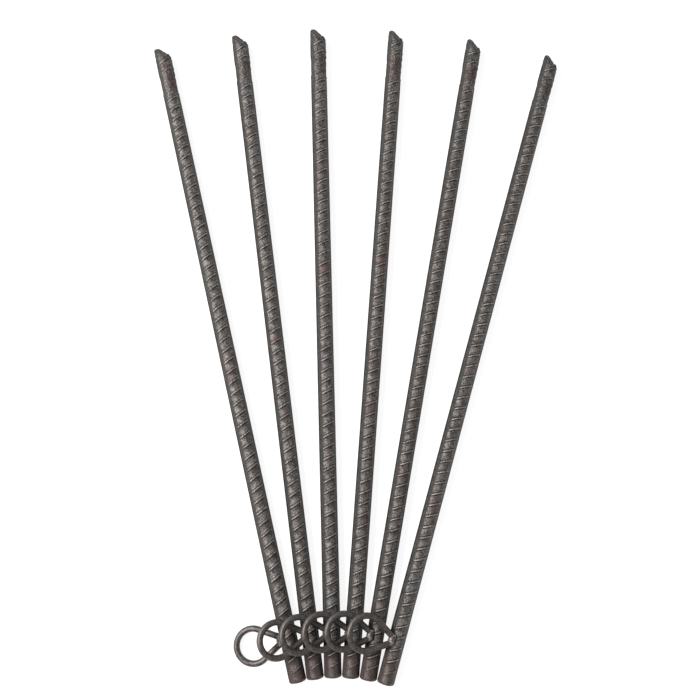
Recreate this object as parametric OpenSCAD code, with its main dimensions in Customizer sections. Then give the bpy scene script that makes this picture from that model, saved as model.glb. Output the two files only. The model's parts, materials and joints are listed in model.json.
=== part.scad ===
// Six ribbed steel ground stakes with welded rings, lying fanned out on a flat floor.
// Each stake is a straight bar with a square-cut head at the ring end and a sheared point at
// the other. A teardrop ring of round wire is welded to the bar's left side near the head.
// Z is up and the floor is at zero. The heads lie side by side toward -Y, the points toward +Y.
// The bars are drawn as smooth cylinders over the tops of their rolled ribs.

/* [Bar] */
// diameter over the ribs
bar_width = 11.4; // [8:0.1:20]
// length from the head to the point
bar_length = 457; // [200:1:900]
// rounding of the edge round the square-cut head
head_round = 1.8; // [0.5:0.1:2.5]

/* [Point] */
// how far the sheared face falls away to the right, measured from straight across the bar
shear_angle = 39; // [20:1:55]
// how far the sheared face leans back, so that it faces upward
lean_angle = 33; // [0:1:50]

/* [Ring] */
// diameter of the ring's round wire
wire_width = 4.2; // [3:0.1:6]
// radius of the ring's round end, to the middle of the wire
ring_radius = 11.3; // [8:0.1:20]
// from the bar's axis to the centre of the ring's round end
ring_reach = 23.9; // [18:0.1:40]
// from the bar's axis to where the two straight legs would meet
leg_meet = 1.5; // [0:0.1:4]
// height of the ring's plane above the bar's axis, measured square to that plane
ring_offset = 3.2; // [0:0.1:4]
// distance of the ring from the head, along the bar
ring_station = 29; // [20:1:100]

/* [Weld] */
// radius of the rounded weld bead
weld_radius = 3.0; // [2:0.1:4]
// length of the bead along the bar
weld_length = 10.6; // [8:0.1:14]
// from the bar's axis to the middle of the bead
weld_reach = 5.2; // [4:0.1:7]

/* [Lay] */
// angle between neighbouring stakes
fan_step = 5.8; // [3:0.1:10]
// gap between neighbouring heads where they are closest
head_gap = 0.1; // [0.05:0.05:1]
// upward tilt of each ring that rests on the stake to its left
lift_angle = 20; // [15:0.1:30]
// downward tilt of the first stake's ring, which rests on the floor
drop_angle = 11; // [5:0.1:20]

/* [Hidden] */
$fn = 96;
stake_count = 6;
bar_radius = bar_width / 2;
wire_radius = wire_width / 2;
// the stakes' axes all meet at one point beyond the heads, and this is its distance from them
fan_radius = (bar_radius + head_gap / 2) / tan(fan_step / 2);
half_fan = fan_step * (stake_count - 1) / 2;
// half the angle between the ring's legs
leg_angle = asin(ring_radius / (ring_reach - leg_meet));
leg_length = ring_radius / tan(leg_angle);
// the legs run a little way into the bend, and are a hair thinner, so that they join at a clean step
leg_lap = 0.5;
leg_step = 0.03;
// how fast the sheared face falls back along the bar, to the right and upward
fall_right = tan(shear_angle);
fall_up = tan(lean_angle) / cos(shear_angle);
// where the sheared face crosses the bar's axis
shear_middle = bar_length - bar_radius * norm([fall_right, fall_up]);
tip_radius = fan_radius + shear_middle;
cutter = 4 * bar_width;
// how far the cut outline of a point reaches past the middle of its face, in a direction
// that is across the bar by one share and along it by the other
function outline_reach(across, along) =
    bar_radius * norm([across + along * fall_right, along * fall_up]);
// the row's box is centred on the origin
left_edge = -tip_radius * sin(half_fan) - outline_reach(cos(half_fan), sin(half_fan));
right_edge = tip_radius * sin(half_fan) + outline_reach(-cos(half_fan), sin(half_fan));
near_edge = (fan_radius + head_round) * cos(half_fan)
    - (bar_radius - head_round) * sin(half_fan) - head_round;
far_edge = tip_radius * cos(fan_step / 2) + outline_reach(sin(fan_step / 2), cos(fan_step / 2));
steel_colour = [0.36, 0.34, 0.32];
wire_colour = [0.42, 0.40, 0.37];
weld_colour = [0.50, 0.47, 0.45];

// puts a stake drawn along +Y, head at zero, into its place in the fan
module lay(number) {
    translate([-(left_edge + right_edge) / 2, -(near_edge + far_edge) / 2, bar_radius])
        rotate([0, 0, half_fan - (number - 1) * fan_step])
            translate([0, fan_radius, 0])
                children();
}

// turns what is welded to a stake about the bar's axis, so that the ring rests on something
module tilt(number) {
    rotate([0, number == 1 ? -drop_angle : lift_angle, 0])
        children();
}

// a round bar along +Y with a rounded head edge
module round_bar() {
    rotate([-90, 0, 0])
        rotate_extrude()
            union() {
                square([bar_radius - head_round, bar_length]);
                translate([0, head_round])
                    square([bar_radius, bar_length - head_round]);
                translate([bar_radius - head_round, head_round])
                    circle(r = head_round);
            }
}

// everything beyond the plane of the sheared face
module beyond_shear() {
    translate([0, shear_middle, 0])
        rotate([lean_angle, 0, -shear_angle])
            translate([-cutter / 2, 0, -cutter / 2])
                cube(cutter);
}

module bar() {
    difference() {
        round_bar();
        beyond_shear();
    }
}

// one straight leg of the ring, from the round end in to where the legs would meet
module leg(side) {
    translate([-leg_meet, 0, 0])
        rotate([0, 0, side * leg_angle])
            rotate([0, -90, 0])
                cylinder(h = leg_length + leg_lap, r = wire_radius - leg_step);
}

// the ring's wire lying flat, its round end on the left
module wire() {
    union() {
        translate([-ring_reach, 0, 0])
            rotate([0, 0, 90 - leg_angle])
                rotate_extrude(angle = 180 + 2 * leg_angle)
                    translate([ring_radius, 0])
                        circle(r = wire_radius);
        leg(1);
        leg(-1);
    }
}

// the solid bar that the wire and the weld are fitted against
module bar_core() {
    rotate([-90, 0, 0])
        cylinder(h = 3 * ring_station, r = bar_radius);
}

module ring() {
    difference() {
        translate([0, ring_station, ring_offset])
            wire();
        bar_core();
    }
}

// a bead with round ends, lying along the bar over the ends of the wire
module bead() {
    straight = weld_length - 2 * weld_radius;
    translate([-weld_reach, ring_station, ring_offset])
        rotate([-90, 0, 0])
            union() {
                cylinder(h = straight, r = weld_radius, center = true);
                for (end = [-1, 1])
                    translate([0, 0, end * straight / 2])
                        sphere(r = weld_radius);
            }
}

module weld() {
    difference() {
        bead();
        bar_core();
        translate([0, ring_station, ring_offset])
            wire();
    }
}

module stake_1_bar() { color(steel_colour) lay(1) bar(); }
module stake_2_bar() { color(steel_colour) lay(2) bar(); }
module stake_3_bar() { color(steel_colour) lay(3) bar(); }
module stake_4_bar() { color(steel_colour) lay(4) bar(); }
module stake_5_bar() { color(steel_colour) lay(5) bar(); }
module stake_6_bar() { color(steel_colour) lay(6) bar(); }

module stake_1_ring() { color(wire_colour) lay(1) tilt(1) ring(); }
module stake_2_ring() { color(wire_colour) lay(2) tilt(2) ring(); }
module stake_3_ring() { color(wire_colour) lay(3) tilt(3) ring(); }
module stake_4_ring() { color(wire_colour) lay(4) tilt(4) ring(); }
module stake_5_ring() { color(wire_colour) lay(5) tilt(5) ring(); }
module stake_6_ring() { color(wire_colour) lay(6) tilt(6) ring(); }

module stake_1_weld() { color(weld_colour) lay(1) tilt(1) weld(); }
module stake_2_weld() { color(weld_colour) lay(2) tilt(2) weld(); }
module stake_3_weld() { color(weld_colour) lay(3) tilt(3) weld(); }
module stake_4_weld() { color(weld_colour) lay(4) tilt(4) weld(); }
module stake_5_weld() { color(weld_colour) lay(5) tilt(5) weld(); }
module stake_6_weld() { color(weld_colour) lay(6) tilt(6) weld(); }

stake_1_bar();
stake_1_ring();
stake_1_weld();
stake_2_bar();
stake_2_ring();
stake_2_weld();
stake_3_bar();
stake_3_ring();
stake_3_weld();
stake_4_bar();
stake_4_ring();
stake_4_weld();
stake_5_bar();
stake_5_ring();
stake_5_weld();
stake_6_bar();
stake_6_ring();
stake_6_weld();
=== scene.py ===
import json
import math
import random

import bpy
from mathutils import Matrix, Vector


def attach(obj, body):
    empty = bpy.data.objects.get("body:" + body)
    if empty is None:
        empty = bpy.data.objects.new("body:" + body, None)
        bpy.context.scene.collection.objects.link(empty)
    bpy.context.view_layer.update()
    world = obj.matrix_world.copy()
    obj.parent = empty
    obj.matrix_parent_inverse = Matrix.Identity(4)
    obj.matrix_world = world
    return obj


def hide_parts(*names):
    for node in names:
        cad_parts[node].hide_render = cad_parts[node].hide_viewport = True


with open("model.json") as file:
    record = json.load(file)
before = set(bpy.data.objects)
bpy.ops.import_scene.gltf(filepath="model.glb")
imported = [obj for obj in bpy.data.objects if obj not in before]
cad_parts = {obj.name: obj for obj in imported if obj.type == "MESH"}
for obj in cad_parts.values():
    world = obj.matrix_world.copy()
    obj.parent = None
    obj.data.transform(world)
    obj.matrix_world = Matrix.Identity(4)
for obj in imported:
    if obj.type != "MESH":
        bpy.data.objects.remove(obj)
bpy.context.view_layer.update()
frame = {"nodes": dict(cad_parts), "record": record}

mounts = {mount["name"]: mount for mount in frame["record"]["mounts"]}
stakes = range(1, 7)
print("frame loaded,", len(frame["nodes"]), "nodes")


# shapes are modelled in millimetres and laid in the fan at the end
def selectOnly(*pieces):
    # the first piece becomes the active one
    bpy.ops.object.select_all(action="DESELECT")
    for piece in pieces:
        piece.select_set(True)
    bpy.context.view_layer.objects.active = pieces[0]


def startEdit(piece):
    selectOnly(piece)
    bpy.ops.object.mode_set(mode="EDIT")
    bpy.ops.mesh.select_mode(type="VERT")
    bpy.ops.mesh.select_all(action="DESELECT")


def endEdit():
    bpy.ops.object.mode_set(mode="OBJECT")


def pickPoints(piece, wanted):
    # selects just the points whose place passes the test, and stays in edit mode
    bpy.ops.mesh.select_all(action="DESELECT")
    bpy.ops.object.mode_set(mode="OBJECT")
    for point in piece.data.vertices:
        point.select = wanted(point.co)
    bpy.ops.object.mode_set(mode="EDIT")


def smoothPoints(piece, wanted, times):
    pickPoints(piece, wanted)
    bpy.ops.mesh.vertices_smooth(factor=0.5, repeat=times)


def addModifier(piece, kind, **settings):
    modifier = piece.modifiers.new(kind.lower(), kind)
    for name, value in settings.items():
        setattr(modifier, name, value)
    selectOnly(piece)
    bpy.ops.object.modifier_apply(modifier=modifier.name)


def roughen(piece, grain, height, group=""):
    # pushes the surface in and out by a cloudy pattern, both sizes in millimetres
    clouds = bpy.data.textures.new("surfaceClouds", "CLOUDS")
    clouds.noise_scale = grain
    clouds.noise_depth = 2
    addModifier(piece, "DISPLACE", texture=clouds, texture_coords="LOCAL", direction="NORMAL",
                strength=height, mid_level=0.5, vertex_group=group)


def joinPieces(pieces):
    selectOnly(*pieces)
    bpy.ops.object.join()
    return pieces[0]


def freeze(piece):
    selectOnly(piece)
    bpy.ops.object.transform_apply(location=True, rotation=True, scale=True)


def extrudeAlong(shift):
    bpy.ops.mesh.extrude_region_move(TRANSFORM_OT_translate={"value": shift})


def cutFlat(piece, place, normal, fill):
    # cuts off what lies beyond a plane; the cut's own points stay selected
    startEdit(piece)
    bpy.ops.mesh.select_all(action="SELECT")
    bpy.ops.mesh.bisect(plane_co=place, plane_no=normal, clear_outer=True, use_fill=fill,
                        threshold=0.0005)


def faceOutward(piece):
    # all faces the same way round, then the one furthest right has to look right
    startEdit(piece)
    bpy.ops.mesh.select_all(action="SELECT")
    bpy.ops.mesh.normals_make_consistent(inside=False)
    endEdit()
    outermost = max(piece.data.polygons, key=lambda face: face.center.x)
    if outermost.normal.x < 0:
        startEdit(piece)
        bpy.ops.mesh.select_all(action="SELECT")
        bpy.ops.mesh.flip_normals()
        endEdit()


def keepOwnCoordinates(piece, name):
    # the materials read these: the piece's own millimetres before it is laid in the fan
    layer = piece.data.attributes.new(name, "FLOAT_VECTOR", "POINT")
    for point in piece.data.vertices:
        layer.data[point.index].vector = point.co


def stakePlace(number, upward):
    # millimetres on a stake, head at zero and the bar along +Y, to its place in the fan
    head = mounts[f"head_face_{number}"]
    along = -Vector(head["axis"])
    across = along.cross(upward).normalized()
    turned = Matrix((across, along, across.cross(along))).transposed().to_4x4()
    return Matrix.Translation(Vector(head["pos_m"])) @ turned @ Matrix.Scale(0.001, 4)


def layCopy(master, name, number, upward):
    copy = bpy.data.objects.new(name, master.data.copy())
    bpy.context.scene.collection.objects.link(copy)
    copy.data.transform(stakePlace(number, upward))
    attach(copy, "root")
    return copy


bar = {
    "length": 457,
    "coreRadius": 5.05,
    "sides": 80,
    "roll": 11,             # degrees the rows of ribs are turned to the right of the top
    "ribPitch": 7.5,
    "ribShift": 5,          # moves all the ribs toward the point
    "ribStep": 0.26,        # height of a rib at its ends
    "ribCrown": 0.34,       # how much higher it is in the middle
    "ribSlope": 26,         # degrees from straight across, rising to the right
    "ribHalfSpread": 48,    # degrees a rib reaches to each side of its middle
    # a rib's section: how far along one pitch, and how much of its full height
    "ribSection": [(0, 0), (2.8, 0), (3.1, 0.55), (3.4, 0.97), (3.75, 1), (4.1, 0.97), (4.4, 0.55),
                   (4.7, 0)],
    "finSteps": [(20, 0.35), (10, 0.35)],       # half width in degrees and height of each step of a fin
    "headRound": 1.9,
    "headSteps": 5,
    "headRings": (0.75, 0.6, 0.4),              # each ring of the head's flat end, as a share of the last
    "plainHead": 9,                             # the ribs fade out this far from the head
    "shearRight": 44,                           # degrees the sheared face falls away to the right
    "shearLean": 32,                            # degrees it leans back
    "noseLoss": 2,                              # what rounding the nose takes off the length
    "noseCorner": (-4.6, 1.2),                  # the blade rolled it over, so far across and from the end
    "noseFacing": (-0.8, 0.6, 0),
    "noseReach": 5,                             # the nose is smoothed this far back
    "burrPlace": (3.4, -4.5, -0.4),             # torn lip, measured from the sheared face's middle
    "burrSize": (1.7, 3, 2.2),
    "burrReach": 12,
    "hollowRadius": 3.2,                        # where the steel tore out of the sheared face
    "hollowDepth": 0.5,
    "crushed": (24, 38),                        # stretch behind the point where the ribs are crushed flat
    "crushedAbove": -2,                         # height on the bar that they are crushed down to
    "tipPart": 46,                              # last stretch, remeshed finer for the torn shear
    "tipVoxel": 0.3,
    "tipSeam": (0.8, 1),                        # bar's end and tip's start in it, with a bridge between
    "tornGrain": 1.8,
    "tornHeight": 0.9,
    "tornFade": 4,                              # length over which the tearing fades out
    "straightLeft": -2.5,                       # to the left of this the edge stayed nearly straight
    "straightShare": 0.3,
    "unevenness": [(4, 0.08), (0.9, 0.07)],     # grain and height all over
}
unroll = Matrix.Rotation(-math.radians(bar["roll"]), 3, "Y")


def onePitch():
    # one ring of the bar, tilted to the slope of the ribs and stretched back on to the round core
    lean = math.tan(math.radians(bar["ribSlope"]))
    tilt = math.asin(lean)
    bpy.ops.mesh.primitive_circle_add(vertices=bar["sides"], radius=bar["coreRadius"],
                                      rotation=(math.pi / 2, 0, 0))
    piece = bpy.context.object
    freeze(piece)
    piece.rotation_euler.z = tilt
    freeze(piece)
    piece.scale.x = 1 / math.cos(tilt)
    freeze(piece)
    startEdit(piece)
    bpy.ops.mesh.select_all(action="SELECT")
    stops = [along for along, rise in bar["ribSection"]] + [bar["ribPitch"]]
    for here, there in zip(stops, stops[1:]):
        extrudeAlong((0, there - here, 0))
    spread = math.radians(bar["ribHalfSpread"])
    chord = bar["coreRadius"] * math.cos(spread)
    crown = bar["ribCrown"] / (bar["coreRadius"] - chord)
    closeBy = 0.05
    for along, rise in bar["ribSection"]:
        if rise == 0:
            continue
        for side in (1, -1):
            pickPoints(piece, lambda place: abs(place.y - lean * place.x - along) < closeBy
                       and place.z * side > chord)
            bpy.ops.transform.resize(value=(1, 1, 1 + crown * rise), center_override=(0, 0, side * chord))
            step = 1 + bar["ribStep"] * rise / bar["coreRadius"]
            bpy.ops.transform.resize(value=(step, 1, step), center_override=(0, 0, 0))
    for side in (1, -1):
        for halfWidth, height in bar["finSteps"]:
            edge = bar["coreRadius"] * math.sin(math.radians(halfWidth))
            pickPoints(piece, lambda place: abs(place.z) < edge and place.x * side > 0)
            bpy.ops.transform.translate(value=(side * height, 0, 0))
    endEdit()
    return piece


def shapeHead(piece):
    # square-cut end with a rolled edge, closed toward its middle
    cutFlat(piece, (0, bar["headRound"], 0), (0, -1, 0), False)
    radius = bar["coreRadius"]
    for step in range(bar["headSteps"]):
        before, turn = (math.radians(90 * part / bar["headSteps"]) for part in (step, step + 1))
        extrudeAlong((0, -bar["headRound"] * (math.sin(turn) - math.sin(before)), 0))
        smaller = radius - bar["headRound"] * (math.cos(before) - math.cos(turn))
        shrink = smaller / radius
        bpy.ops.transform.resize(value=(shrink, 1, shrink), center_override=(0, 0, 0))
        radius = smaller
    for shrink in bar["headRings"]:
        extrudeAlong((0, 0, 0))
        bpy.ops.transform.resize(value=(shrink, 1, shrink), center_override=(0, 0, 0))
    bpy.ops.mesh.merge(type="CENTER")
    endEdit()


def shearPlane():
    # a point of the sheared face and its normal, before the bar is rolled to its ribs' place
    right = math.tan(math.radians(bar["shearRight"]))
    upward = math.tan(math.radians(bar["shearLean"])) / math.cos(math.radians(bar["shearRight"]))
    middle = bar["length"] + bar["noseLoss"] - bar["coreRadius"] * math.hypot(right, upward)
    return Vector((0, middle, 0)), unroll @ Vector((right, 1, upward)).normalized()


def cutTip(piece):
    # cuts the last stretch off square, shears its end, and adds the torn lip that the blade left
    middle, normal = shearPlane()
    cornerAcross, cornerBack = bar["noseCorner"]
    for place, facing in (((0, bar["length"] - bar["tipPart"], 0), (0, -1, 0)), (middle, normal),
                          ((cornerAcross, bar["length"] - cornerBack, 0), bar["noseFacing"])):
        cutFlat(piece, place, facing, True)
        endEdit()
    bpy.ops.mesh.primitive_uv_sphere_add(segments=24, ring_count=12, radius=1,
                                         location=middle + unroll @ Vector(bar["burrPlace"]),
                                         scale=bar["burrSize"])
    burr = bpy.context.object
    freeze(burr)
    piece = joinPieces([piece, burr])
    addModifier(piece, "REMESH", mode="VOXEL", voxel_size=bar["tipVoxel"])
    return piece


def smoothTip(piece):
    # crushes the ribs, rounds the nose and the lip, and hollows the sheared face where the steel tore
    length = bar["length"]
    middle, normal = shearPlane()
    near, far = (length - distance for distance in reversed(bar["crushed"]))
    justUnder = 0.3         # deep enough to take in all of the face's own points
    pastSeam = 2            # keeps clear of the end that meets the bar
    startEdit(piece)
    smoothPoints(piece, lambda place: near < place.y < far and place.z > bar["crushedAbove"],
                 times=90)
    smoothPoints(piece, lambda place: place.y > length - bar["noseReach"] + place.x, times=45)
    smoothPoints(piece, lambda place: place.y > length - bar["burrReach"] and place.x > 0, times=20)
    pickPoints(piece, lambda place: (place - middle).dot(normal) > -justUnder
               and (place - middle).length < bar["hollowRadius"])
    bpy.ops.transform.translate(value=-bar["hollowDepth"] * normal)
    bpy.ops.mesh.vertices_smooth(factor=0.5, repeat=8)
    smoothPoints(piece, lambda place: place.y > length - bar["tipPart"] + pastSeam, times=2)
    endEdit()


def tearTip(piece):
    # ragged steel from the point to the crushed stretch, fading out behind it
    torn = piece.vertex_groups.new(name="torn")
    for point in piece.data.vertices:
        fromEnd = bar["length"] - point.co.y
        share = min(1, max(0, 1 - (fromEnd - bar["crushed"][1]) / bar["tornFade"]))
        if point.co.x < bar["straightLeft"]:
            share *= bar["straightShare"]
        torn.add([point.index], share, "REPLACE")
    roughen(piece, bar["tornGrain"], bar["tornHeight"], "torn")


def makeBar():
    piece = onePitch()
    count = math.ceil(bar["length"] / bar["ribPitch"]) + 2
    addModifier(piece, "ARRAY", count=count, use_relative_offset=False, use_constant_offset=True,
                constant_offset_displace=(0, bar["ribPitch"], 0), use_merge_vertices=True,
                merge_threshold=0.01)
    piece.location.y = bar["ribShift"] - bar["ribPitch"]
    freeze(piece)
    tip = bpy.data.objects.new("tip", piece.data.copy())
    bpy.context.scene.collection.objects.link(tip)
    # the ribs fade out toward the head: smoothed there, and again nearer to it
    ribbedAbove = 0.55 * bar["coreRadius"]
    startEdit(piece)
    for reach in (bar["plainHead"], bar["plainHead"] * 0.8):
        smoothPoints(piece, lambda place: place.y < reach and abs(place.z) > ribbedAbove, times=4)
    endEdit()
    shapeHead(piece)
    tip = cutTip(tip)
    smoothTip(tip)
    tearTip(tip)
    for part, seam, facing in ((piece, bar["tipSeam"][0], 1), (tip, bar["tipSeam"][1], -1)):
        cutFlat(part, (0, bar["length"] - bar["tipPart"] + seam, 0), (0, facing, 0), False)
        endEdit()
    piece = joinPieces([piece, tip])
    startEdit(piece)
    bpy.ops.mesh.select_non_manifold()
    bpy.ops.mesh.bridge_edge_loops()
    endEdit()
    faceOutward(piece)
    for grain, height in bar["unevenness"]:
        roughen(piece, grain, height)
    keepOwnCoordinates(piece, "stakeMm")
    piece.rotation_euler.y = math.radians(bar["roll"])
    freeze(piece)
    bpy.ops.object.shade_smooth()
    print("bar modelled,", len(piece.data.polygons), "faces")
    return piece


barMaster = makeBar()


ring = {
    "wireRadius": 2.1,
    "bendRadius": 11.3,
    "reach": 23.9,          # bar's axis to the middle of the round end
    "legsMeet": 1.5,        # bar's axis to where the legs would meet
    "station": 29,          # from the head, along the bar
    "offset": 3.2,          # above the bar's axis
    "legEnd": 3.4,          # the legs are sawn off inside the weld, this far from the axis
    "sides": 24,
    "legSteps": 6,
    "bendSteps": 64,
    "unevenness": [(6, 0.22), (1.2, 0.07)],     # grain and height
}


def makeRing():
    half = math.asin(ring["bendRadius"] / (ring["reach"] - ring["legsMeet"]))
    outward = Vector((-math.cos(half), math.sin(half), 0))
    inward = Vector((math.cos(half), math.sin(half), 0))
    meet = Vector((-ring["legsMeet"], ring["station"], ring["offset"]))
    legStart = meet + outward * (ring["legEnd"] - ring["legsMeet"]) / math.cos(half)
    legLength = ring["bendRadius"] / math.tan(half) - (legStart - meet).length
    bpy.ops.mesh.primitive_circle_add(vertices=ring["sides"], radius=ring["wireRadius"],
                                      fill_type="NGON", location=legStart,
                                      rotation=(math.pi / 2, 0, -math.pi / 2 - half))
    piece = bpy.context.object
    freeze(piece)
    startEdit(piece)
    bpy.ops.mesh.select_all(action="SELECT")
    for step in range(ring["legSteps"]):
        extrudeAlong(outward * legLength / ring["legSteps"])
    bpy.ops.mesh.spin(steps=ring["bendSteps"], angle=-math.pi - 2 * half,
                      center=(-ring["reach"], ring["station"], ring["offset"]), axis=(0, 0, 1))
    for step in range(ring["legSteps"]):
        extrudeAlong(inward * legLength / ring["legSteps"])
    bpy.ops.mesh.select_all(action="SELECT")
    bpy.ops.mesh.remove_doubles(threshold=0.001)
    endEdit()
    faceOutward(piece)
    for grain, height in ring["unevenness"]:
        roughen(piece, grain, height)
    bpy.ops.object.shade_smooth()
    keepOwnCoordinates(piece, "stakeMm")
    print("ring modelled,", len(piece.data.polygons), "faces")
    return piece


ringMaster = makeRing()


weld = {
    "reach": 5.1,           # bar's axis to the middle of the bead
    "length": 10.2,
    "ripples": 6,
    "rippleRadius": 2.5,
    "rippleShape": (1.02, 0.62, 1),
    "rippleTurn": 0.4,              # radians
    "rippleSwell": (0.94, 1.06),
    "rippleAcross": (-0.25, 0.25),
    "rippleRise": (0, 0.1),
    "voxel": 0.24,
    "grain": 1.1,
    "height": 0.4,
    "spatterDrops": 18,
    "spatterRadius": (0.2, 0.42),
    "spatterReach": 12,     # along the bar, each way from the bead's middle
    "spatterTurn": (-70, 30),       # degrees round the bar from its top
    "dropShape": (1, 1.25, 0.55),
}


def makeWeld():
    draw = random.Random(7)
    straight = weld["length"] - 2 * weld["rippleRadius"]
    ripples = []
    for step in range(weld["ripples"]):
        share = step / (weld["ripples"] - 1) - 0.5
        swell = weld["rippleRadius"] * draw.uniform(*weld["rippleSwell"])
        place = (draw.uniform(*weld["rippleAcross"]) - weld["reach"], ring["station"] + share * straight,
                 ring["offset"] + draw.uniform(*weld["rippleRise"]))
        bpy.ops.mesh.primitive_uv_sphere_add(segments=32, ring_count=16, radius=swell, location=place,
                                             rotation=(0, 0, weld["rippleTurn"]),
                                             scale=weld["rippleShape"])
        ripples.append(bpy.context.object)
    piece = joinPieces(ripples)
    freeze(piece)
    addModifier(piece, "REMESH", mode="VOXEL", voxel_size=weld["voxel"])
    startEdit(piece)
    bpy.ops.mesh.select_all(action="SELECT")
    bpy.ops.mesh.vertices_smooth(factor=0.5, repeat=2)
    endEdit()
    roughen(piece, weld["grain"], weld["height"])
    drops = []
    for drop in range(weld["spatterDrops"]):
        # drops of spatter frozen on the bar, on both sides of the bead
        size = draw.uniform(*weld["spatterRadius"])
        along = ring["station"] + draw.uniform(-weld["spatterReach"], weld["spatterReach"])
        turn = math.radians(draw.uniform(*weld["spatterTurn"]))
        place = (bar["coreRadius"] * math.sin(turn), along, bar["coreRadius"] * math.cos(turn))
        bpy.ops.mesh.primitive_ico_sphere_add(subdivisions=2, radius=size, location=place,
                                              rotation=(0, turn, 0), scale=weld["dropShape"])
        drops.append(bpy.context.object)
    piece = joinPieces([piece] + drops)
    freeze(piece)
    bpy.ops.object.shade_smooth()
    keepOwnCoordinates(piece, "stakeMm")
    print("weld modelled,", len(piece.data.polygons), "faces")
    return piece


weldMaster = makeWeld()


barCopies = []
ringCopies = []
weldCopies = []
for number in stakes:
    ringUp = Vector(mounts[f"ring_eye_{number}"]["axis"])
    barPiece = layCopy(barMaster, f"stake_{number}_ribbed_bar", number, Vector((0, 0, 1)))
    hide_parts(f"stake_{number}_bar")
    barCopies.append(barPiece)
    ringPiece = layCopy(ringMaster, f"stake_{number}_wire_ring", number, ringUp)
    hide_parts(f"stake_{number}_ring")
    ringCopies.append(ringPiece)
    weldPiece = layCopy(weldMaster, f"stake_{number}_weld_bead", number, ringUp)
    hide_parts(f"stake_{number}_weld")
    weldCopies.append(weldPiece)
for master in (barMaster, ringMaster, weldMaster):
    bpy.data.objects.remove(master)
print("six stakes laid")


def linearColour(hexColour):
    # sRGB hex to linear RGBA
    channels = [int(hexColour[place:place + 2], 16) / 255 for place in (1, 3, 5)]
    return [c / 12.92 if c <= 0.04045 else ((c + 0.055) / 1.055) ** 2.4 for c in channels] + [1]


def addNode(material, kind, options=None, inputs=()):
    # adds one node: its options, then its inputs by name or in order, each a value or what feeds it
    tree = material.node_tree
    node = tree.nodes.new(kind)
    for name, value in (options or {}).items():
        setattr(node, name, value)
    for name, value in inputs.items() if isinstance(inputs, dict) else enumerate(inputs):
        if isinstance(value, bpy.types.NodeSocket):
            tree.links.new(value, node.inputs[name])
        else:
            node.inputs[name].default_value = value
    return node.outputs


def newMaterial(name):
    material = bpy.data.materials.new(name)
    material.use_nodes = True
    material.node_tree.nodes.clear()
    return material


def paintSteel(material, finish, read, colour):
    # a finish's fades turn readings into marks, and each layer's colour lies where all its marks are;
    # gives the colour, and how much of each layer shows
    marks = {}
    for name, (reading, *fade) in finish["fades"].items():
        marks[name] = addNode(material, "ShaderNodeMapRange", {"interpolation_type": finish["easing"]},
                              [read[reading], *fade])[0]
    shares = {}
    for layer, (first, *others, hexColour) in finish["layers"].items():
        share = marks[first]
        for name in others:
            share = addNode(material, "ShaderNodeMath", {"operation": "MULTIPLY"},
                            [share, marks[name]])[0]
        colour = addNode(material, "ShaderNodeMix", {"data_type": "RGBA"},
                         {0: share, 6: colour, 7: linearColour(hexColour)})[2]
        shares[layer] = share
    return colour, shares


def finishSteel(material, finish, colour, gloss, height):
    # gloss and height run from 0 to 1
    roughness = addNode(material, "ShaderNodeMapRange", None, [gloss, 0, 1, *finish["roughness"]])[0]
    bump = addNode(material, "ShaderNodeBump", None,
                   {"Strength": 1, "Distance": finish["relief"] / 1000, "Height": height})[0]
    shader = addNode(material, "ShaderNodeBsdfPrincipled", None,
                     {"Metallic": finish["metallic"], "Base Color": colour, "Roughness": roughness,
                      "Normal": bump})[0]
    addNode(material, "ShaderNodeOutputMaterial", None, [shader])


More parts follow.
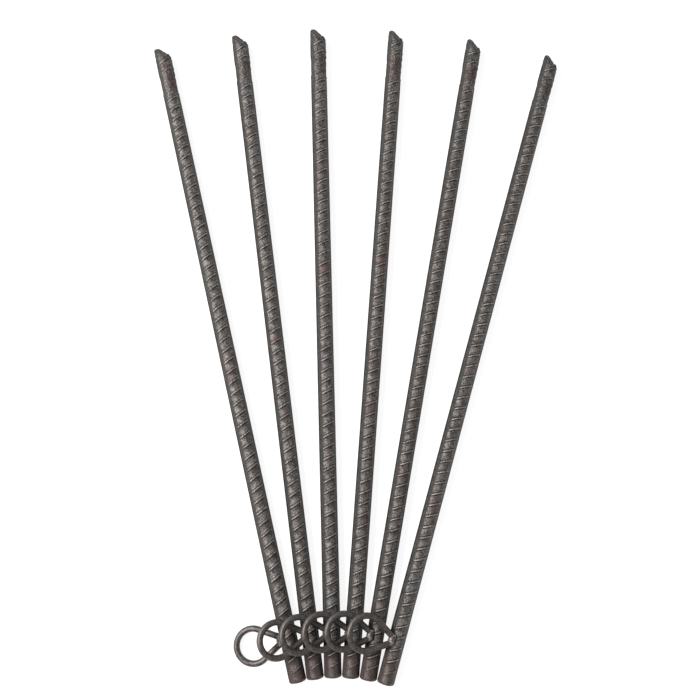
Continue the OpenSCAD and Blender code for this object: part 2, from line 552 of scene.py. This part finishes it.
barFinish = {
    "scaleDark": "#302d2b",
    "scaleMid": "#575350",
    "scaleLight": "#89837e",
    "scaleRange": (0.58, 1.02),     # the tone at which the scale is darkest and lightest
    "metallic": 0.55,
    "roughness": (0.42, 0.68),
    "relief": 0.2,                  # millimetres
    "pitSpacing": 1.7,              # millimetres
    "crushedShift": 1,              # the crushed stretch is darkest a millimetre nearer the point
    # size in millimetres and detail
    "noises": {
        "patches": (18, 3),
        "blueing": (13, 2),
        "mottle": (3, 5),
        "grain": (0.8, 3),
    },
    # readings stirred by a noise: the noise, how strongly, and what it stirs
    "stirred": {
        "tone": ("mottle", 0.6, "grain"),
        "ragged": ("mottle", 0.5, "facing"),
        "wandering": ("mottle", 9, "across"),
        "gathered": ("blueing", 1.6, "chance"),
        "uneven": ("grain", 0.6, "fromCell"),
    },
    "easing": "SMOOTHSTEP",
    # a mark: the reading it follows, where it starts and ends there, and how much shows at each
    "fades": {
        "stained": ("patches", 0.53, 0.68, 0, 0.6),
        "blued": ("blueing", 0.56, 0.7, 0, 0.35),
        # painted shade: the bar's sides darkened from the rows of ribs out to the fins
        "flankShade": ("ragged", 1.02, 0.9, 0, 0.85),
        "fin": ("ragged", 0.56, 0.38, 0, 0.9),
        "headEnd": ("along", 34, 12, 0, 0.7),
        "crushed": ("fromCrushed", 10, 4, 0, 1),
        "uncrushed": ("fromCrushed", 4, 10, 0, 1),
        "right": ("wandering", 1.5, 6, 0.1, 0.85),
        "speckled": ("grain", 0.62, 0.48, 0.35, 1),
        "onRows": ("facing", 0.64, 0.7, 0, 1),
        "ribbed": ("along", bar["plainHead"] - 5, bar["plainHead"] + 5, 0, 1),
        # painted shade in the creases along the ribs' feet
        "footShadeLine": ("fromFoot", 0.48, 0.12, 0, 1),
        "broken": ("mottle", 0.32, 0.45, 0, 0.95),
        # painted highlight along the ribs' crests
        "crestHighlightLine": ("fromCrest", 0.55, 0.15, 0, 0.75),
        "crestHighlightBreakup": ("grain", 0.35, 0.6, 0, 1),
        "onFace": ("depth", -1.3, -0.8, 0, 0.8),
        "outer": ("radius", 3.2, 4.4, 0, 1),
        "lower": ("upward", 1.5, -0.5, 0, 1),
        "hole": ("uneven", 0.64, 0.38, 0, 1),
        "chosen": ("gathered", 1.44, 1.5, 0, 0.9),
    },
    # from the bottom up: the marks where a layer lies, and its colour
    "layers": {
        "rust": ("stained", "#5c4844"),
        "blueScale": ("blued", "#5c6067"),
        "flankShade": ("flankShade", "#3b3936"),          # painted shade on the sides, between the rows of ribs and the fins
        # painted shade, darkest along the fins at the sides
        "fin": ("fin", "#1d1b1a"),
        "headHeat": ("headEnd", "#4c3e3b"),     # browner toward the head
        "crushed": ("crushed", "right", "speckled", "#41302d"),         # darkest on its right half
        "foot": ("footShadeLine", "onRows", "broken", "ribbed", "uncrushed", "#1b1918"),     # painted shade along the ribs' feet
        "crest": ("crestHighlightLine", "onRows", "crestHighlightBreakup", "ribbed", "uncrushed", "#aaa19b"),   # painted highlight along the ribs' crests, broken up by grain
        "shearedFace": ("onFace", "#3b3a38"),
        "shearedRim": ("onFace", "outer", "lower", "#8f8e8a"),          # paler along its lower edge
        "pits": ("hole", "chosen", "#1b1918"),  # where scale was rolled in, gathered in clusters
    },
}


def readBar(steel):
    # what the marks follow: where a point is on the bar in millimetres, and the noises there
    minus = {"operation": "SUBTRACT"}
    absolute = {"operation": "ABSOLUTE"}
    length = {"operation": "LENGTH"}
    timesPlus = {"operation": "MULTIPLY_ADD"}
    read = {}
    own = addNode(steel, "ShaderNodeAttribute", {"attribute_name": "stakeMm"})["Vector"]
    place = addNode(steel, "ShaderNodeTexCoord")["Object"]
    placeMm = addNode(steel, "ShaderNodeVectorMath", {"operation": "SCALE"}, {0: place, "Scale": 1000})[0]
    read["across"], read["along"], read["upward"] = addNode(steel, "ShaderNodeSeparateXYZ", None, [own])
    for name, (size, detail) in barFinish["noises"].items():
        read[name] = addNode(steel, "ShaderNodeTexNoise", None,
                             {"Vector": placeMm, "Scale": 1 / size, "Detail": detail,
                              "Roughness": 0.65})[0]
    # round the bar: 1 at the middle of a row of ribs, 0 at a fin
    flat = addNode(steel, "ShaderNodeCombineXYZ", None, {0: read["across"], 2: read["upward"]})[0]
    read["radius"] = addNode(steel, "ShaderNodeVectorMath", length, [flat])["Value"]
    height = addNode(steel, "ShaderNodeMath", absolute, [read["upward"]])[0]
    read["facing"] = addNode(steel, "ShaderNodeMath", {"operation": "DIVIDE"},
                             [height, read["radius"]])[0]
    # along the bar: distances from the nearest crest, a rib's foot and the crushed stretch
    slope = math.tan(math.radians(bar["ribSlope"]))
    back = addNode(steel, "ShaderNodeMath", timesPlus, [read["across"], -slope, read["along"]])[0]
    shifted = addNode(steel, "ShaderNodeMath", minus, [back, bar["ribShift"]])[0]
    read["inPitch"] = addNode(steel, "ShaderNodeMath", {"operation": "FLOORED_MODULO"},
                              [shifted, bar["ribPitch"]])[0]
    halfRib = (bar["ribSection"][-1][0] - bar["ribSection"][1][0]) / 2
    crushedMiddle = bar["length"] - sum(bar["crushed"]) / 2
    for name, reading, zero in (("fromCrest", "inPitch", bar["ribPitch"] / 2),
                                ("fromFoot", "fromCrest", halfRib),
                                ("fromCrushed", "along", crushedMiddle + barFinish["crushedShift"])):
        apart = addNode(steel, "ShaderNodeMath", minus, [read[reading], zero])[0]
        read[name] = addNode(steel, "ShaderNodeMath", absolute, [apart])[0]
    # how far a point is beyond the sheared face
    middle, normal = shearPlane()
    shift = addNode(steel, "ShaderNodeVectorMath", minus, [own, middle])[0]
    read["depth"] = addNode(steel, "ShaderNodeVectorMath", {"operation": "DOT_PRODUCT"},
                            [shift, normal])["Value"]
    # each pit's own cell
    cells = addNode(steel, "ShaderNodeTexVoronoi", None,
                    {"Vector": placeMm, "Scale": 1 / barFinish["pitSpacing"]})
    read["fromCell"] = cells["Distance"]
    read["chance"] = addNode(steel, "ShaderNodeSeparateColor", None, [cells["Color"]])[0]
    for name, (noise, strength, reading) in barFinish["stirred"].items():
        read[name] = addNode(steel, "ShaderNodeMath", timesPlus,
                             [read[noise], strength, read[reading]])[0]
    return read


def hotRolledMillScale():
    # hot-rolled carbon steel under mill scale: dull mottled grey oxide, brown or bluish where it is
    # thin, with a painted highlight on the ribs' crests, painted shade along their feet and painted shade
    # on the sides
    steel = newMaterial("hotRolledMillScaleSteel")
    read = readBar(steel)
    pale = addNode(steel, "ShaderNodeMapRange", {"interpolation_type": barFinish["easing"]},
                   [read["tone"], *barFinish["scaleRange"], 0, 1])[0]
    oxide = addNode(steel, "ShaderNodeValToRGB", None, [pale])[0]
    ramp = oxide.node.color_ramp
    ramp.elements[0].color = linearColour(barFinish["scaleDark"])
    ramp.elements[1].color = linearColour(barFinish["scaleLight"])
    ramp.elements.new(0.5).color = linearColour(barFinish["scaleMid"])
    colour, shares = paintSteel(steel, barFinish, read, oxide)
    sunk = addNode(steel, "ShaderNodeMath", {"operation": "SUBTRACT"}, [read["tone"], shares["pits"]])[0]
    finishSteel(steel, barFinish, colour, read["grain"], sunk)
    return steel


wireFinish = {
    "dark": "#34312f",
    "metallic": 0.6,
    "roughness": (0.32, 0.52),
    "relief": 0.12,                 # millimetres
    "drawnOut": 5,                  # marks are this many times as long as they are wide
    "noises": {"lines": 0.5, "mottle": 2.5, "patches": 9},      # millimetres
    "easing": "LINEAR",
    "fades": {
        "light": ("tone", 0.75, 1.25, 0, 1),
        "rust": ("patches", 0.5, 0.65, 0, 0.6),
        "scuff": ("lines", 0.6, 0.75, 0, 0.6),
    },
    "layers": {
        "light": ("light", "#69635f"),
        "rust": ("rust", "#524642"),
        "scuff": ("scuff", "#96918b"),
    },
}


def drawnWire():
    # cold-drawn wire bent hot: smooth dull oxide with fine draw lines and scuffs running along the wire
    steel = newMaterial("drawnWireSteel")
    own = addNode(steel, "ShaderNodeAttribute", {"attribute_name": "stakeMm"})["Vector"]
    eye = Vector((-ring["reach"], ring["station"], ring["offset"]))
    fromEye = addNode(steel, "ShaderNodeVectorMath", {"operation": "SUBTRACT"}, [own, eye])[0]
    across, along, upward = addNode(steel, "ShaderNodeSeparateXYZ", None, [fromEye])
    flat = addNode(steel, "ShaderNodeCombineXYZ", None, [across, along])[0]
    outward = addNode(steel, "ShaderNodeVectorMath", {"operation": "LENGTH"}, [flat])["Value"]
    # the wire unrolled and pressed short, so that the lines run long
    turn = addNode(steel, "ShaderNodeMath", {"operation": "ARCTAN2"}, [along, across])[0]
    length = addNode(steel, "ShaderNodeMath", {"operation": "MULTIPLY"},
                     [turn, ring["bendRadius"] / wireFinish["drawnOut"]])[0]
    unrolled = addNode(steel, "ShaderNodeCombineXYZ", None, [outward, length, upward])[0]
    read = {}
    for name, size in wireFinish["noises"].items():
        read[name] = addNode(steel, "ShaderNodeTexNoise", None,
                             {"Vector": unrolled if name == "lines" else own, "Scale": 1 / size,
                              "Detail": 4, "Roughness": 0.65})[0]
    read["tone"] = addNode(steel, "ShaderNodeMath", {"operation": "ADD"},
                           [read["lines"], read["mottle"]])[0]
    colour = paintSteel(steel, wireFinish, read, linearColour(wireFinish["dark"]))[0]
    finishSteel(steel, wireFinish, colour, read["mottle"], read["tone"])
    return steel


beadFinish = {
    "dark": "#48413e",
    "metallic": 0.6,
    "roughness": (0.35, 0.6),
    "relief": 0.15,                 # millimetres
    "mottle": 1.6,                  # millimetres
    "ripple": 3,                    # millimetres
    "easing": "LINEAR",
    "fades": {
        "light": ("mottle", 0.35, 0.65, 0, 1),
        "hollow": ("ripples", 0.4, 0.1, 0, 0.6),
    },
    "layers": {
        "light": ("light", "#a09792"),
        "slag": ("hollow", "#544946"),
    },
}


def arcWeldBead():
    # stick-weld bead: frozen ripples of bright grey steel, with brown slag left in the hollows
    steel = newMaterial("arcWeldedSteelBead")
    own = addNode(steel, "ShaderNodeAttribute", {"attribute_name": "stakeMm"})["Vector"]
    read = {}
    read["mottle"] = addNode(steel, "ShaderNodeTexNoise", None,
                             {"Vector": own, "Scale": 1 / beadFinish["mottle"], "Detail": 4,
                              "Roughness": 0.65})[0]
    read["ripples"] = addNode(steel, "ShaderNodeTexWave", {"bands_direction": "Y"},
                              {"Vector": own, "Scale": 1 / beadFinish["ripple"], "Distortion": 3,
                               "Detail": 2})[1]
    colour = paintSteel(steel, beadFinish, read, linearColour(beadFinish["dark"]))[0]
    height = addNode(steel, "ShaderNodeMath", {"operation": "ADD"}, [read["ripples"], read["mottle"]])[0]
    finishSteel(steel, beadFinish, colour, read["mottle"], height)
    return steel


def dress(pieces, material):
    for piece in pieces:
        piece.data.materials.clear()
        piece.data.materials.append(material)


dress(barCopies, hotRolledMillScale())
dress(ringCopies, drawnWire())
dress(weldCopies, arcWeldBead())
print("materials done")


studio = {
    "floorSize": 12,
    "paper": "#949493",
    "fibre": "#8b8b8a",
    "floorGlow": 0.86,      # lit from below, so that shadows stay faint
    "skyStrength": 0.46,
    "lampPlace": (-0.62, 0.05, 0.75),
    "lampTurn": (0, -39.6, 0),
    "lampSize": (0.3, 0.9),
    "lampWatts": 15,
    "cameraPlace": (0.00404, -0.11833, 0.66936),
    "cameraTurn": (9.428, 0, 1.329),
    "lens": 50,
}


def backlitPaper():
    # matt white studio paper over a light table: no gloss, and a faint fibre mottle
    paper = newMaterial("backlitMattPaper")
    place = addNode(paper, "ShaderNodeTexCoord")["Object"]
    fibres = addNode(paper, "ShaderNodeTexNoise", None, {"Vector": place, "Scale": 400, "Detail": 3})[0]
    colour = addNode(paper, "ShaderNodeMix", {"data_type": "RGBA"},
                     {0: fibres, 6: linearColour(studio["paper"]), 7: linearColour(studio["fibre"])})[2]
    shader = addNode(paper, "ShaderNodeBsdfPrincipled", None,
                     {"Base Color": colour, "Roughness": 0.9, "Emission Color": (1, 1, 1, 1),
                      "Emission Strength": studio["floorGlow"]})[0]
    addNode(paper, "ShaderNodeOutputMaterial", None, [shader])
    return paper


bpy.ops.mesh.primitive_plane_add(size=studio["floorSize"])
floor = bpy.context.object
floor.name = "floor"
dress([floor], backlitPaper())

world = bpy.data.worlds.new("studioSky")
world.use_nodes = True
world.node_tree.nodes["Background"].inputs[0].default_value = (1, 1, 1, 1)
world.node_tree.nodes["Background"].inputs[1].default_value = studio["skyStrength"]
bpy.context.scene.world = world

lampData = bpy.data.lights.new("softLamp", "AREA")
lampData.shape = "RECTANGLE"
lampData.size, lampData.size_y = studio["lampSize"]
lampData.energy = studio["lampWatts"]
lamp = bpy.data.objects.new("softLamp", lampData)
lamp.location = studio["lampPlace"]
lamp.rotation_euler = [math.radians(turn) for turn in studio["lampTurn"]]
bpy.context.scene.collection.objects.link(lamp)

cameraData = bpy.data.cameras.new("camera")
cameraData.lens = studio["lens"]
cameraData.clip_start = 0.01
camera = bpy.data.objects.new("camera", cameraData)
camera.location = studio["cameraPlace"]
camera.rotation_euler = [math.radians(turn) for turn in studio["cameraTurn"]]
bpy.context.scene.collection.objects.link(camera)
bpy.context.scene.camera = camera
bpy.context.scene.view_settings.view_transform = "Standard"
